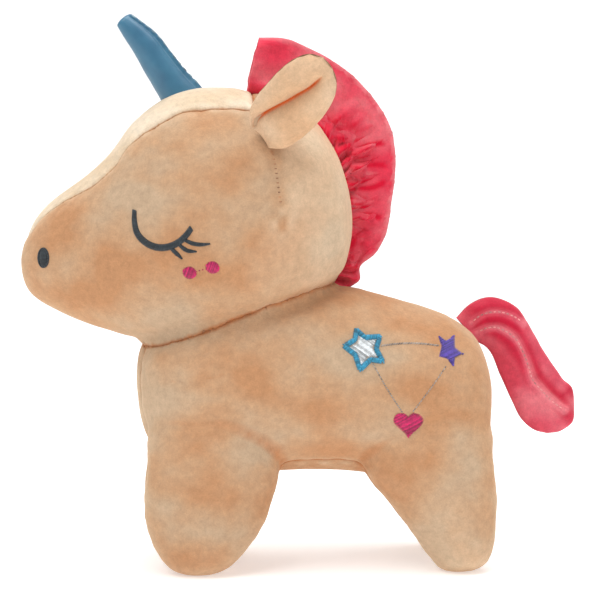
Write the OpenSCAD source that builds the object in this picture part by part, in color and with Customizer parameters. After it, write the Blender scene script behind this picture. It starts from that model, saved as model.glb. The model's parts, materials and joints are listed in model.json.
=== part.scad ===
/* [Head] */
// Width of the head across the cheeks
head_w = 100; // [92:1:108]
// Width of the top gusset where it ends between the ears
head_gusset_w = 57; // [44:1:62]
// Length of an ear from its base seam to its tip
ear_len = 44; // [34:1:50]
// Width of an ear at its widest
ear_w = 33; // [26:1:40]
// Thickness of an ear, both layers together
ear_t = 7; // [5:0.5:9]
// Length of the horn above its base seam
horn_len = 39; // [32:1:46]
// Width of the horn at its base
horn_base_w = 18.4; // [15:0.2:20]
// Width of the horn at its blunt tip
horn_tip_w = 6; // [4:0.5:9]
// Thickness of the double mane ruffle
mane_t = 16; // [10:1:20]

/* [Body] */
// Width of the body across the flanks
body_w = 88; // [80:1:94]
// Distance between the centres of the left and right legs
leg_spacing = 48; // [46:1:50]
// Width of a leg across its thickest part
leg_w = 40; // [34:1:42]
// Thickness of the tail at its middle
tail_t = 14; // [10:1:18]
// Half width of the belly gusset along the belly and inner legs
belly_gusset_half = 24; // [20:1:28]
// Half width of the belly gusset up the chest
chest_gusset_half = 15; // [10:1:20]

/* [Cloth] */
// Thickness of the plush cloth with its pile
skin_t = 2; // [1.5:0.1:2.5]
// Thickness of the faux leather of the horn
leather_t = 0.8; // [0.6:0.1:1.2]
// Height of the satin embroidery above the cloth
satin_t = 0.7; // [0.4:0.1:1]
// Width of a line of satin embroidery
satin_w = 2.3; // [1.8:0.1:3]
// Thickness of a sewing thread
thread_t = 0.7; // [0.5:0.1:1]

/* [Joints] */
// Radius of the wad of fibre that the head turns on
neck_ball_r = 20; // [16:1:22]
// How far the head nods back, in degrees
nod_back = 5; // [2:1:6]
// How far the head nods forward, in degrees
nod_forward = 8; // [4:1:10]
// Clearance between pieces that move apart
joint_gap = 0.5; // [0.4:0.1:0.8]

/* [Hidden] */

RING_SIDES = 24;
LEG_SIDES = 20;
HORN_SIDES = 20;
SOCKET_FN = 32;
FAR = 300;
SLIT = 0.02;
SQUARENESS = 0.9;

// Stations along the head: x, underside, top, and half width as a share of head_w
HEAD = [
    [-124.5, 132.5, 143.5, 0.09], [-121.5, 124.5, 152, 0.17], [-114.5, 118.5, 162, 0.24],
    [-105, 113.5, 169.5, 0.285], [-93, 108.5, 178.3, 0.33], [-84, 105.5, 187, 0.365],
    [-76, 102.5, 197, 0.40], [-66, 98.5, 205, 0.44], [-52, 97, 212.5, 0.48],
    [-33, 98, 214.2, 0.50], [-14, 104, 211, 0.485], [3, 113, 202, 0.42],
    [14, 125, 189, 0.31], [19.5, 140, 175, 0.17], [21, 150, 166, 0.08]];
// Stations along the body: x, underside, top, and half width as a share of body_w
BODY = [
    [-73.5, 82, 98, 0.10], [-71, 66, 106, 0.25], [-64, 52, 113, 0.385], [-52, 45, 120, 0.465],
    [-30, 42, 128, 0.495], [-5, 43, 130, 0.5], [15, 43, 126.3, 0.5], [35, 40.5, 121.3, 0.495],
    [55, 39, 116.2, 0.48], [68, 39, 110.8, 0.44], [76.5, 41, 104.5, 0.375],
    [81.7, 46, 96, 0.27], [84, 56, 84, 0.125]];
// Levels up a leg: z, centre x, half length, centre y share, and half width as a share of leg_w
FRONT_LEG = [
    [0, -47, 7, 1, 0.15], [2.5, -47, 13, 1, 0.275], [9, -46, 19.3, 1, 0.39],
    [20, -44, 25.8, 1, 0.46], [34, -42, 29, 1, 0.49], [46, -40, 29.5, 0.98, 0.5],
    [62, -39.5, 29, 0.94, 0.5], [78, -40, 24, 0.83, 0.45]];
HIND_LEG = [
    [0, 68.5, 6.5, 1, 0.15], [2.5, 68.5, 11, 1, 0.265], [9, 67.5, 15.5, 1, 0.365],
    [20, 64.5, 20, 1, 0.44], [31, 60.5, 24.7, 1, 0.475], [43, 55.2, 29, 0.98, 0.5],
    [60, 53, 30, 0.94, 0.5], [76, 53, 26, 0.83, 0.45]];
LEG_TOP = 78;
// Height at which the leg fillings meet the body filling
LEG_FILL_TOP = 46;

// The neck seam lies in a plane through NECK that rises towards the back
NECK = [-29, 0, 113.5];
NECK_SLOPE = 17.5;

// The horn's base centre and lean, and its pivot just outside the head
HORN_BASE = [-55.6, 0, 213.8];
HORN_LEAN = -35.5;
HORN_BEND = 1.5;

// The ear's base centre, its length direction and its base direction
EAR_BASE = [-14.3, -43.3, 195];
EAR_UP = [0.43, -0.50, 0.75];
EAR_ALONG = [0.87, 0.01, -0.49];

GREY = "#c9a47c";
MANE_PINK = "#dc535d";
TAIL_PINK = "#c33c4d";
SLATE = "#272a27";
FIBRE = "#f0ece2";

function rounder(v) = sign(v) * pow(abs(v), SQUARENESS);
function middle(list) = (list[0][0] + list[len(list) - 1][0]) / 2;
function reach(list) = (list[len(list) - 1][0] - list[0][0]) / 2;

// One oval ring across the X axis, grown by d
function cross_ring(s, width, d, mid, half) = let (
    x = s[0] + d * (s[0] - mid) / half,
    zc = (s[1] + s[2]) / 2,
    h = (s[2] - s[1]) / 2 + d,
    w = s[3] * width + d)
    [for (i = [0:RING_SIDES - 1]) let (a = 360 * i / RING_SIDES)
        [x, w * rounder(cos(a)), zc + h * rounder(sin(a))]];

// One oval ring across a leg, grown by d
function leg_ring(s, d) = [for (i = [0:LEG_SIDES - 1]) let (a = 360 * i / LEG_SIDES)
    [s[1] + (s[2] + d) * cos(a), s[3] * leg_spacing / 2 + (s[4] * leg_w + d) * sin(a),
        s[0] - d * (1 - s[0] / LEG_TOP)]];

// A closed skin over a row of rings with the same number of points
module loft(rings) {
    n = len(rings[0]);
    for (i = [0:len(rings) - 2])
        hull()
            polyhedron(concat(rings[i], rings[i + 1]),
                [[for (k = [0:n - 1]) k], [for (k = [0:n - 1]) 2 * n - 1 - k]]);
}

module head_form(d = 0) {
    loft([for (s = HEAD) cross_ring(s, head_w, d, middle(HEAD), reach(HEAD))]);
}

module torso_form(d = 0) {
    loft([for (s = BODY) cross_ring(s, body_w, d, middle(BODY), reach(BODY))]);
}

module leg_form(levels, side, d = 0) {
    scale([1, side, 1])
        loft([for (s = levels) leg_ring(s, d)]);
}

module body_form(d = 0) {
    torso_form(d);
    for (side = [-1, 1]) {
        leg_form(FRONT_LEG, side, d);
        leg_form(HIND_LEG, side, d);
    }
}

// Everything above a plane through the neck, turned by a nod and raised by a gap
module above_neck(nod, gap) {
    translate(NECK)
        rotate([0, nod - NECK_SLOPE, 0])
            translate([-FAR, -FAR, gap])
                cube([2 * FAR, 2 * FAR, FAR]);
}

// Room for the head: a shallow wedge, so that it clears the body at both ends of its nod
module head_space() {
    intersection() {
        above_neck(nod_forward, joint_gap);
        above_neck(-nod_back, joint_gap);
    }
}

module one_side(side) {
    translate([-FAR, side > 0 ? 0 : -FAR, -FAR])
        cube([2 * FAR, FAR, 2 * FAR]);
}

module neck_socket() {
    translate(NECK)
        sphere(neck_ball_r + joint_gap, $fn = SOCKET_FN);
}

module horn_socket() {
    translate(HORN_BASE)
        sphere(horn_base_w / 2 + joint_gap, $fn = SOCKET_FN);
}

// The plan of the head's top gusset, from the nose to between the ears
module head_gusset_zone() {
    w = head_gusset_w / 2;
    edge = [[-130, 6], [-121, 9], [-112.5, 13], [-92.7, 20.5], [-77.4, 22], [-62.6, 25.5], [-45, w],
        [-22, w]];
    translate([0, 0, 146])
        linear_extrude(FAR)
            polygon(concat(edge, [for (i = [len(edge) - 1:-1:0]) [edge[i][0], -edge[i][1]]]));
}

module head_skin() {
    intersection() {
        difference() {
            head_form();
            head_form(-skin_t);
            horn_socket();
        }
        head_space();
    }
}

module head_panel(side) {
    difference() {
        intersection() {
            head_skin();
            one_side(side);
        }
        head_gusset_zone();
    }
}

module head_panel_left() {
    color(GREY) head_panel(-1);
}

module head_panel_right() {
    color(GREY) head_panel(1);
}

module head_gusset() {
    color("#e9dbc7")
        intersection() {
            head_skin();
            head_gusset_zone();
        }
}

module head_filling() {
    color(FIBRE)
        difference() {
            intersection() {
                head_form(-skin_t);
                head_space();
            }
            neck_socket();
            horn_socket();
        }
}

// A figure drawn on the side of the head, standing proud of the cloth
module head_embroidery(side) {
    intersection() {
        difference() {
            head_form(satin_t);
            head_form(SLIT);
        }
        scale([1, side, 1])
            rotate([90, 0, 0])
                mirror([0, 0, 1])
                    linear_extrude(FAR)
                        children();
    }
}

// A straight line of stitching from a to b
module bar(a, b, w) {
    run = b - a;
    translate((a + b) / 2)
        rotate(atan2(run[1], run[0]))
            square([norm(run) + w / 2, w], center = true);
}

// A curved line of stitching about the origin
module arc_band(r, from, to, w) {
    step = (to - from) / 12;
    polygon(concat(
        [for (i = [0:12]) (r + w / 2) * [cos(from + step * i), sin(from + step * i)]],
        [for (i = [12:-1:0]) (r - w / 2) * [cos(from + step * i), sin(from + step * i)]]));
}

// A closed eye: a hanging arc with three lashes
module eye(side) {
    centre = [-62.2, 157.5];
    r = 12.3;
    lashes = [[[-51, 147.4], [-42.6, 146.8]], [[-52.8, 144.2], [-48.3, 143.5]],
        [[-57.2, 143.2], [-54.6, 140.7]]];
    head_embroidery(side) {
        translate(centre)
            arc_band(r, 172, 345, satin_w);
        for (lash = lashes)
            bar(lash[0], lash[1], satin_w);
    }
}

module eye_left() {
    color(SLATE) eye(-1);
}

module eye_right() {
    color(SLATE) eye(1);
}

module nostril(side) {
    head_embroidery(side)
        translate([-113.8, 140])
            scale([0.6, 1])
                circle(4.6, $fn = 20);
}

module nostril_left() {
    color("#465050") nostril(-1);
}

module nostril_right() {
    color("#465050") nostril(1);
}

// Two linked dots on the cheek
module cheek(side) {
    dots = [[-50.9, 134.4], [-41.1, 136.7]];
    r = 3;
    head_embroidery(side) {
        for (dot = dots)
            translate(dot)
                circle(r, $fn = 20);
        bar(dots[0], dots[1], thread_t);
    }
}

module cheek_left() {
    color("#9c1e50") cheek(-1);
}

module cheek_right() {
    color("#9c1e50") cheek(1);
}

// Ladder stitches that close the dart under an ear
module dart_stitches(side) {
    first = [-14.4, 183.5];
    last = [-12.1, 165];
    count = 7;
    head_embroidery(side)
        for (i = [0:count - 1])
            translate(first + (last - first) * i / (count - 1))
                square([4, thread_t], center = true);
}

module dart_stitches_left() {
    color("#8d6a4a") dart_stitches(-1);
}

module dart_stitches_right() {
    color("#8d6a4a") dart_stitches(1);
}

// Places a shape drawn in the ear's own axes: x along the base, y up the ear, z to the back
module on_ear(side) {
    n = cross(EAR_ALONG, EAR_UP);
    scale([1, -side, 1])
        multmatrix([
            [EAR_ALONG[0], EAR_UP[0], n[0], EAR_BASE[0]],
            [EAR_ALONG[1], EAR_UP[1], n[1], EAR_BASE[1]],
            [EAR_ALONG[2], EAR_UP[2], n[2], EAR_BASE[2]]])
            children();
}

// A leaf-shaped ear with a base rounded about its seam
module ear(side, layer) {
    shape = [[0, 0.34], [0.14, 0.72], [0.34, 0.98], [0.55, 1], [0.75, 0.86], [0.9, 0.6], [1, 0.22]];
    on_ear(side)
        intersection() {
            for (i = [0:len(shape) - 2])
                hull()
                    for (s = [shape[i], shape[i + 1]])
                        translate([0, s[0] * (ear_len - ear_t / 2), 0])
                            rotate([0, 90, 0])
                                cylinder(h = s[1] * ear_w, r = ear_t / 2, center = true, $fn = 16);
            translate([-FAR, -FAR, layer > 0 ? 0 : -FAR])
                cube([2 * FAR, 2 * FAR, FAR]);
        }
}

module ear_left_front() {
    color("#d3a784") ear(-1, 1);
}

module ear_left_back() {
    color(GREY) ear(-1, -1);
}

module ear_right_front() {
    color("#d3a784") ear(1, 1);
}

module ear_right_back() {
    color(GREY) ear(1, -1);
}

// Levels up the horn: height above the pivot, radius, and how far it bends back
function horn_levels(d) = let (r0 = horn_base_w / 2, r1 = horn_tip_w / 2, top = horn_len - r1)
    concat(
        [for (a = [-80:20:-20]) [(r0 + d) * sin(a), (r0 + d) * cos(a), 0]],
        [for (t = [0:0.2:1]) [t * top, r0 + (r1 - r0) * t + d, HORN_BEND * sin(180 * t)]],
        [for (a = [30:25:80]) [top + (r1 + d) * sin(a), (r1 + d) * cos(a), 0]]);

// The horn: a blunt, slightly bent cone over a ball about its pivot, grown by d
module horn_form(d = 0) {
    translate(HORN_BASE)
        rotate([0, HORN_LEAN, 0])
            loft([for (s = horn_levels(d))
                [for (i = [0:HORN_SIDES - 1]) let (a = 360 * i / HORN_SIDES)
                    [s[2] + s[1] * cos(a), s[1] * sin(a), s[0]]]]);
}

module horn_filling() {
    color(FIBRE) horn_form(-leather_t);
}

// The cover is open underneath, where it is sewn to the head
module horn_cover() {
    hem = horn_base_w / 4;
    color("#4b7c93")
        difference() {
            horn_form();
            horn_form(-leather_t);
            translate(HORN_BASE)
                rotate([0, HORN_LEAN, 0])
                    translate([-horn_base_w, -horn_base_w, -hem - FAR])
                        cube([2 * horn_base_w, 2 * horn_base_w, FAR]);
        }
}

// Stitches down the horn's back seam
module horn_stitching() {
    count = 7;
    r0 = horn_base_w / 2;
    r1 = horn_tip_w / 2;
    color("#2c637d")
        difference() {
            translate(HORN_BASE)
                rotate([0, HORN_LEAN, 0])
                    for (i = [1:count])
                        let (t = i / (count + 1))
                            translate([HORN_BEND * sin(180 * t) + r0 + (r1 - r0) * t, 0,
                                t * (horn_len - r1)])
                                cube([2 * thread_t, thread_t, 3], center = true);
            horn_form(SLIT);
        }
}

// One layer of the gathered mane, sewn into the seam at the back of the head
module mane_layer(side) {
    outline = [[-24.8, 214], [-22.5, 226], [-18.5, 235.8], [-7.9, 235.4], [6, 230.4], [20.3, 222],
        [32.4, 209.7], [40.5, 196.7], [43.2, 183.2], [42.8, 171], [40.5, 159], [39.2, 145.4],
        [33.8, 138.2], [25.2, 131], [9, 125], [-10, 150], [-10, 190]];
    difference() {
        translate([0, side > 0 ? mane_t / 2 : 0, 0])
            rotate([90, 0, 0])
                linear_extrude(mane_t / 2)
                    polygon(outline);
        head_form(SLIT);
        for (nod = [0, nod_back])
            translate(NECK)
                rotate([0, -nod, 0])
                    translate(-NECK)
                        torso_form(2 * joint_gap);
    }
}

module mane_left_layer() {
    color(MANE_PINK) mane_layer(-1);
}

module mane_right_layer() {
    color(MANE_PINK) mane_layer(1);
}

module neck_filling() {
    color(FIBRE)
        translate(NECK)
            sphere(neck_ball_r, $fn = 48);
}

// The belly gusset's strip: up the chest, along the belly and inner legs, up to the tail
module belly_gusset_zone() {
    low = 52;
    strips = [[-FAR, 12, low, belly_gusset_half, 70, chest_gusset_half],
        [-FAR, -30, 70, chest_gusset_half, FAR, chest_gusset_half],
        [60, FAR, low, belly_gusset_half, 98, 3]];
    translate([-FAR, -belly_gusset_half, -FAR])
        cube([2 * FAR, 2 * belly_gusset_half, FAR + low]);
    for (s = strips)
        hull()
            for (level = [[s[2], s[3]], [s[4], s[5]]])
                translate([s[0], -level[1], level[0] - SLIT])
                    cube([s[1] - s[0], 2 * level[1], 2 * SLIT]);
}

module below_neck() {
    difference() {
        children();
        above_neck(0, -joint_gap);
    }
}

module body_skin() {
    below_neck()
        difference() {
            body_form();
            body_form(-skin_t);
        }
}

module body_panel(side) {
    difference() {
        intersection() {
            body_skin();
            one_side(side);
        }
        belly_gusset_zone();
    }
}

module body_panel_left() {
    color(GREY) body_panel(-1);
}

module body_panel_right() {
    color(GREY) body_panel(1);
}

module belly_gusset() {
    color("#a87853")
        intersection() {
            body_skin();
            belly_gusset_zone();
        }
}

module body_filling() {
    color(FIBRE)
        difference() {
            below_neck()
                body_form(-skin_t);
            neck_socket();
            translate([-FAR, -FAR, -FAR])
                cube([2 * FAR, 2 * FAR, FAR + LEG_FILL_TOP]);
        }
}

module leg_filling(levels, side) {
    intersection() {
        leg_form(levels, side, -skin_t);
        translate([-FAR, -FAR, -FAR])
            cube([2 * FAR, 2 * FAR, FAR + LEG_FILL_TOP]);
    }
}

module front_leg_filling_left() {
    color(FIBRE) leg_filling(FRONT_LEG, -1);
}

module front_leg_filling_right() {
    color(FIBRE) leg_filling(FRONT_LEG, 1);
}

module hind_leg_filling_left() {
    color(FIBRE) leg_filling(HIND_LEG, -1);
}

module hind_leg_filling_right() {
    color(FIBRE) leg_filling(HIND_LEG, 1);
}

module flank_form(side, d) {
    torso_form(d);
    leg_form(HIND_LEG, side, d);
}

// A figure drawn on the flank, standing proud of the cloth
module flank_embroidery(side) {
    intersection() {
        difference() {
            flank_form(side, satin_t);
            flank_form(side, SLIT);
        }
        scale([1, side, 1])
            rotate([90, 0, 0])
                mirror([0, 0, 1])
                    linear_extrude(FAR)
                        children();
    }
}

BIG_STAR = [25.1, 100.6];
BIG_STAR_R = 11.2;
BIG_STAR_LEAN = 34;
SMALL_STAR = [62.5, 99.3];
SMALL_STAR_R = 7;
SMALL_STAR_LEAN = 60;
HEART = [43.7, 68];
HEART_R = 3.5;

// A five-pointed star about the origin
module star(r, lean) {
    inner = 0.56;
    rotate(lean)
        polygon([for (i = [0:9]) r * (i % 2 == 0 ? 1 : inner) * [cos(36 * i), sin(36 * i)]]);
}

module big_star_border(side) {
    flank_embroidery(side)
        translate(BIG_STAR)
            difference() {
                star(BIG_STAR_R, BIG_STAR_LEAN);
                offset(-satin_w)
                    star(BIG_STAR_R, BIG_STAR_LEAN);
            }
}

module big_star_border_left() {
    color("#468fa7") big_star_border(-1);
}

module big_star_border_right() {
    color("#468fa7") big_star_border(1);
}

module big_star_fill(side) {
    flank_embroidery(side)
        translate(BIG_STAR)
            offset(-satin_w - SLIT)
                star(BIG_STAR_R, BIG_STAR_LEAN);
}

module big_star_fill_left() {
    color("#c8cac9") big_star_fill(-1);
}

module big_star_fill_right() {
    color("#c8cac9") big_star_fill(1);
}

module small_star(side) {
    flank_embroidery(side)
        translate(SMALL_STAR)
            star(SMALL_STAR_R, SMALL_STAR_LEAN);
}

module small_star_left() {
    color("#473b80") small_star(-1);
}

module small_star_right() {
    color("#473b80") small_star(1);
}

module heart(side) {
    flank_embroidery(side)
        translate(HEART)
            heart_shape(HEART_R);
}

// A heart: two lobes that both run down to one point
module heart_shape(r) {
    for (s = [-1, 1])
        hull() {
            translate([s * r * 0.9, r * 0.5])
                circle(r, $fn = 20);
            translate([0, -r * 1.5])
                circle(r * 0.2, $fn = 12);
        }
}

module heart_left() {
    color("#9f1e53") heart(-1);
}

module heart_right() {
    color("#9f1e53") heart(1);
}

// Thin lines that link the two stars and the heart
module star_links(side) {
    flank_embroidery(side)
        difference() {
            for (pair = [[BIG_STAR, SMALL_STAR], [BIG_STAR, HEART], [SMALL_STAR, HEART]])
                bar(pair[0], pair[1], 1.2);
            translate(BIG_STAR)
                offset(SLIT)
                    star(BIG_STAR_R, BIG_STAR_LEAN);
            translate(SMALL_STAR)
                offset(SLIT)
                    star(SMALL_STAR_R, SMALL_STAR_LEAN);
            translate(HEART)
                offset(SLIT)
                    heart_shape(HEART_R);
        }
}

module star_links_left() {
    color("#a99c88") star_links(-1);
}

module star_links_right() {
    color("#a99c88") star_links(1);
}

// Levels down the tail: centre x, centre z, half length across it, turn, share of its thickness
TAIL = [
    [77.6, 105.8, 7, 46, 0.35], [79.4, 107.6, 9, 46, 0.42], [83.4, 110.8, 11, 42, 0.6],
    [89.2, 110.6, 13.2, 20, 0.85], [95.6, 104.4, 13.8, -12, 1], [100.2, 95.4, 13.4, -23, 1],
    [104.6, 85.8, 14, -24, 1], [108.3, 75.6, 16, -22, 0.97], [111.2, 67.4, 15, -18, 0.8],
    [112.9, 60.6, 9.8, -14, 0.45], [113.3, 58, 5, -12, 0.2]];

// A flat stuffed tail, grown by d
module tail_form(d = 0) {
    last = len(TAIL) - 1;
    loft([for (k = [0:last]) let (
        s = TAIL[k],
        end = k == 0 ? -d : k == last ? d : 0,
        across = [cos(s[3]), 0, -sin(s[3])],
        down = [-sin(s[3]), 0, -cos(s[3])],
        centre = [s[0], 0, s[1]] + (k < 3 ? -end : end) * down)
        [for (i = [0:LEG_SIDES - 1]) let (a = 360 * i / LEG_SIDES)
            centre + (s[2] + d) * rounder(cos(a)) * across
                + [0, (s[4] * tail_t / 2 + d) * rounder(sin(a)), 0]]]);
}

module tail_panel(side) {
    intersection() {
        difference() {
            tail_form();
            tail_form(-skin_t / 2);
        }
        one_side(side);
    }
}

module tail_panel_left() {
    color(TAIL_PINK) tail_panel(-1);
}

module tail_panel_right() {
    color(TAIL_PINK) tail_panel(1);
}

module tail_filling() {
    color(FIBRE) tail_form(-skin_t / 2);
}

// Two rows of stitches that quilt the tail, on both of its faces
module tail_topstitching() {
    rows = [
        [[84, 115], [92, 112.5], [98, 105]],
        [[82, 109], [88, 107], [93, 101], [98, 92], [103, 84], [110, 77]]];
    color("#8f2c3a")
        intersection() {
            difference() {
                tail_form(satin_t);
                tail_form(SLIT);
            }
            rotate([90, 0, 0])
                linear_extrude(2 * tail_t, center = true)
                    for (row = rows)
                        for (i = [0:len(row) - 2])
                            for (k = [0, 1])
                                bar(row[i] + (row[i + 1] - row[i]) * (k + 0.15) / 2,
                                    row[i] + (row[i + 1] - row[i]) * (k + 0.75) / 2, thread_t);
        }
}

head_panel_left();
head_panel_right();
head_gusset();
head_filling();
eye_left();
eye_right();
nostril_left();
nostril_right();
cheek_left();
cheek_right();
dart_stitches_left();
dart_stitches_right();
ear_left_front();
ear_left_back();
ear_right_front();
ear_right_back();
horn_cover();
horn_filling();
horn_stitching();
mane_left_layer();
mane_right_layer();
neck_filling();
body_panel_left();
body_panel_right();
belly_gusset();
body_filling();
front_leg_filling_left();
front_leg_filling_right();
hind_leg_filling_left();
hind_leg_filling_right();
big_star_border_left();
big_star_border_right();
big_star_fill_left();
big_star_fill_right();
small_star_left();
small_star_right();
heart_left();
heart_right();
star_links_left();
star_links_right();
tail_panel_left();
tail_panel_right();
tail_filling();
tail_topstitching();
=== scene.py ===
# Plush unicorn: skins, stuffing, horn, ears, mane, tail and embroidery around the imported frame

import json
import math

import bpy
import numpy as np
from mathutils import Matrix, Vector
from mathutils.bvhtree import BVHTree
from mathutils.kdtree import KDTree


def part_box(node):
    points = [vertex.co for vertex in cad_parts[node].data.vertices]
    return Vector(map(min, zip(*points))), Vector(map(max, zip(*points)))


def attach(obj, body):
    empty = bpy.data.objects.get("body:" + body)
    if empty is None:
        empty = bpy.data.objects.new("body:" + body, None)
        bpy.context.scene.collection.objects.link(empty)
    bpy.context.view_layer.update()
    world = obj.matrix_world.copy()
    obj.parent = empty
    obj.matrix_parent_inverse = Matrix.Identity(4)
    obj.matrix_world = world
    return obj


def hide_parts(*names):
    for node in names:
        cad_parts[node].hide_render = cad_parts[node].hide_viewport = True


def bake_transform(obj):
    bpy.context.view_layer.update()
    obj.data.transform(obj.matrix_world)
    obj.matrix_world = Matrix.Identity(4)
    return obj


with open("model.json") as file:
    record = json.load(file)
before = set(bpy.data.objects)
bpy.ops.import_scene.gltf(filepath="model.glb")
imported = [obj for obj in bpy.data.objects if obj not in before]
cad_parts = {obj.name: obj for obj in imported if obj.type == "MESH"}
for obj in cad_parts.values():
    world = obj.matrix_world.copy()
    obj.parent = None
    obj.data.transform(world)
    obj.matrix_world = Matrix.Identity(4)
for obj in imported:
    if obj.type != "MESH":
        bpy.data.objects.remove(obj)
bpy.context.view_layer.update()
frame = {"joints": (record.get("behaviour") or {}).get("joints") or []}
MM = 0.001
JOINT = {j["name"]: j for j in frame["joints"]}
NECK = np.array(JOINT["neck_turn"]["pos_m"])
NECK_UP = np.array(JOINT["neck_turn"]["axis"]) / np.linalg.norm(JOINT["neck_turn"]["axis"])

# --- Driving forms, in millimetres -------------------------------------------------------------

# Stations along the head: x, underside, top, half width
HEAD = [
    (-124.5, 132.5, 143.5, 9), (-121.5, 124.5, 152, 17), (-114.5, 118.5, 162, 24),
    (-105, 113.5, 169.5, 28.5), (-93, 108.5, 178.3, 33), (-84, 105.5, 187, 36.5),
    (-76, 102.5, 197, 40), (-66, 98.5, 205, 44), (-52, 97, 212.5, 48), (-33, 98, 214.2, 50),
    (-14, 104, 211, 48.5), (3, 113, 202, 42), (14, 125, 189, 31), (19.5, 140, 175, 17),
    (21, 150, 166, 8)]
# Stations along the body: x, underside, top, half width
BODY = [
    (-73.5, 82, 98, 9), (-71, 66, 106, 22), (-64, 52, 113, 34), (-52, 45, 120, 41),
    (-30, 42, 128, 43.5), (-5, 43, 130, 44), (15, 43, 126.3, 44), (35, 40.5, 121.3, 43.5),
    (55, 39, 116.2, 42), (68, 39, 110.8, 38.5), (76.5, 41, 104.5, 33), (81.7, 46, 96, 24),
    (84, 56, 84, 11)]
# Levels up a leg: z, centre x, half length, centre y, half width
FRONT_LEG = [
    (0, -47, 7, 24, 6), (2.5, -47, 13, 24, 11), (9, -46, 19.3, 24, 15.5),
    (20, -44, 25.8, 24, 18.5), (34, -42, 29, 24, 19.5), (46, -40, 29.5, 23.5, 20),
    (62, -39.5, 29, 22.5, 20), (78, -40, 24, 20, 18)]
HIND_LEG = [
    (0, 68.5, 6.5, 24, 6), (2.5, 68.5, 11, 24, 10.5), (9, 67.5, 15.5, 24, 14.5),
    (20, 64.5, 20, 24, 17.5), (31, 60.5, 24.7, 24, 19), (43, 55.2, 29, 23.5, 20),
    (60, 53, 30, 22.5, 20), (76, 53, 26, 20, 18)]
# Plan of the head's top gusset: x, half width
GUSSET_PLAN = [(-124.5, 0), (-121, 8.5), (-112.5, 13), (-92.7, 20.5), (-77.4, 22), (-62.6, 25.5),
               (-45, 29.5), (-20, 28.5)]
GUSSET_END = -22.0
# Power of the sine and cosine in a cross section; under 1 is squarer than an oval
SQUARENESS = 0.9
# Mesh size of the skin
BODY_MESH = 1.6 * MM


# --- Small tools -------------------------------------------------------------------------------

def smoothstep(low, high, v):
    t = np.clip((v - low) / (high - low), 0, 1)
    return t * t * (3 - 2 * t)


def distance_along(line):
    """How far along its line each point lies."""
    return np.concatenate([[0], np.cumsum(np.linalg.norm(np.diff(line, axis=0), axis=1))])


def points_at(line, u):
    """Points of a flat line at the distances u along it."""
    at = distance_along(line)
    return np.stack([np.interp(u, at, line[:, i]) for i in (0, 1)], axis=1)


def spline(rows, n):
    """n points of a smooth curve through the rows, evenly spaced along it."""
    rows = np.asarray(rows, float)
    s = distance_along(rows)
    slope = np.gradient(rows, s, axis=0)
    u = np.linspace(0, s[-1], n)
    i = np.clip(np.searchsorted(s, u, side="right") - 1, 0, len(rows) - 2)
    h = (s[i + 1] - s[i])[:, None]
    t = ((u - s[i])[:, None]) / h
    a, b = rows[i], rows[i + 1]
    return (a * (2 * t**3 - 3 * t**2 + 1) + b * (3 * t**2 - 2 * t**3)
            + h * slope[i] * (t**3 - 2 * t**2 + t) + h * slope[i + 1] * (t**3 - t**2))


def lumps(p, size, seed, count=24):
    """A smooth random field of about unit height whose lumps are about size across."""
    rng = np.random.default_rng(seed)
    k = rng.normal(size=(count, 3))
    k *= (2 * math.pi / size) * rng.uniform(0.5, 1.1, (count, 1)) / np.linalg.norm(k, axis=1)[:, None]
    phase = rng.uniform(0, 2 * math.pi, count)
    return np.sin(p @ k.T + phase).sum(axis=1) / math.sqrt(count / 2)


def new_object(name, verts, faces, material):
    """A smooth mesh object from points and faces."""
    mesh = bpy.data.meshes.new(name)
    mesh.from_pydata(np.asarray(verts, float).tolist(), [],
                     [list(map(int, f)) for f in (faces.tolist() if hasattr(faces, "tolist") else faces)])
    mesh.update()
    mesh.polygons.foreach_set("use_smooth", [True] * len(mesh.polygons))
    if material is not None:
        mesh.materials.append(material)
    obj = bpy.data.objects.new(name, mesh)
    bpy.context.scene.collection.objects.link(obj)
    return obj


def grid_faces(rows, cols, wrap=False):
    """Quads of a rows by cols grid of points; wrap joins its last column to its first."""
    r = np.arange(rows - 1)[:, None]
    c = np.arange(cols if wrap else cols - 1)[None, :]
    d = (c + 1) % cols
    return np.stack(np.broadcast_arrays(r * cols + c, r * cols + d, (r + 1) * cols + d,
                                        (r + 1) * cols + c), axis=-1).reshape(-1, 4)


def closed_tube(rings):
    """Points and faces of a row of rings, closed at both ends."""
    n, k = rings.shape[:2]
    faces = grid_faces(n, k, wrap=True).tolist()
    faces.append(list(range(k - 1, -1, -1)))
    faces.append(list(range((n - 1) * k, n * k)))
    return rings.reshape(-1, 3), faces


def triangles_of(obj):
    """Evaluated points and triangles of an object."""
    evaluated = obj.evaluated_get(bpy.context.evaluated_depsgraph_get())
    mesh = evaluated.to_mesh()
    mesh.calc_loop_triangles()
    p = np.empty(len(mesh.vertices) * 3)
    mesh.vertices.foreach_get("co", p)
    t = np.empty(len(mesh.loop_triangles) * 3, np.int64)
    mesh.loop_triangles.foreach_get("vertices", t)
    evaluated.to_mesh_clear()
    return p.reshape(-1, 3), t.reshape(-1, 3)


def normals_of(p, t):
    """Area-weighted normal at each point."""
    face = np.cross(p[t[:, 1]] - p[t[:, 0]], p[t[:, 2]] - p[t[:, 0]])
    n = np.stack([np.bincount(t.ravel(), np.repeat(face[:, i], 3), len(p)) for i in range(3)], axis=1)
    return n / np.maximum(np.linalg.norm(n, axis=1), 1e-12)[:, None]


def sides_of(t):
    """The three sides of each triangle, as pairs of points."""
    return np.concatenate([t[:, [0, 1]], t[:, [1, 2]], t[:, [2, 0]]])


def links_of(p, t):
    """The two ends of every edge, and how many edges meet at each point."""
    edges = np.unique(np.sort(sides_of(t), axis=1), axis=0)
    degree = np.maximum(np.bincount(edges.ravel(), minlength=len(p)), 1)[:, None]
    return edges[:, 0], edges[:, 1], degree


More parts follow.
